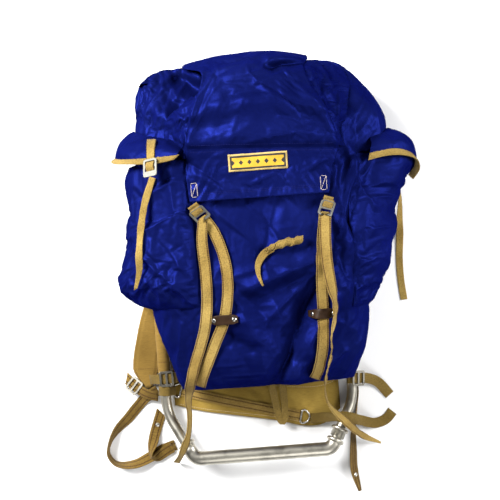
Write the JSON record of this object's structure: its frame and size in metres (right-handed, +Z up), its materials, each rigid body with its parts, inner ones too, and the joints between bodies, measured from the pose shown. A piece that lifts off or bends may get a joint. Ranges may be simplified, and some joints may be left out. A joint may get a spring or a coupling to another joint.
{
  "type": "external frame backpack",
  "caption": "Rucksack of coated nylon with side pockets and a lid on a bent tube frame, lying on its back with its webbing straps loose.",
  "frame": {"origin": "on the floor under the middle of the whole pack's box, straps included", "axes": "+Z up from the floor the pack lies on, +Y towards its lid, +X to its right as seen from above"},
  "size_m": [0.6022, 0.8028, 0.2112],
  "materials": {
    "nylon": "royal blue coated nylon, softly glossy",
    "webbing": "tan cotton webbing",
    "striped_webbing": "tan webbing with brown stitched lines",
    "canvas": "tan cotton canvas",
    "leather": "dark brown leather",
    "alloy": "worn bare alloy",
    "steel": "plated steel",
    "label": "gold and black woven patch"
  },
  "bodies": {
    "root": {"frame": "alloy", "foot_bar": "alloy", "foot_sleeve": "alloy", "sack": "nylon", "lid": "nylon", "pocket_left": "nylon", "pocket_right": "nylon", "flap_left": "nylon", "flap_right": "nylon", "binding_left": "webbing", "binding_right": "webbing", "patch": "label", "lid_strap_left": "webbing", "lid_strap_right": "webbing", "lid_tab_left": "webbing", "lid_tab_right": "webbing", "lid_buckle_left": "alloy", "lid_buckle_right": "alloy", "pocket_strap_left": "webbing", "pocket_buckle_left": "alloy", "pocket_tail_left": "webbing", "pocket_tail_right": "webbing", "knot_strap": "webbing", "foot_loop": "webbing", "corner_strap_left": "webbing", "corner_strap_right": "webbing", "corner_slide_left": "steel", "corner_slide_right": "steel", "keeper_left": "leather", "keeper_right": "leather", "keeper_rivet_left_1": "steel", "keeper_rivet_left_2": "steel", "keeper_rivet_right_1": "steel", "keeper_rivet_right_2": "steel", "back_band": "canvas", "band_webbing": "webbing", "d_ring_left": "steel", "d_ring_right": "steel", "band_tab_left": "webbing", "band_tab_right": "webbing", "shoulder_strap_left": "canvas", "shoulder_strap_right": "canvas", "shoulder_tail_left": "striped_webbing", "shoulder_slide_left": "steel", "hip_strap_left": "striped_webbing", "hip_strap_right": "striped_webbing", "hip_rivet_left": "steel", "hip_eyelet_right": "steel"}
  },
  "joints": []
}
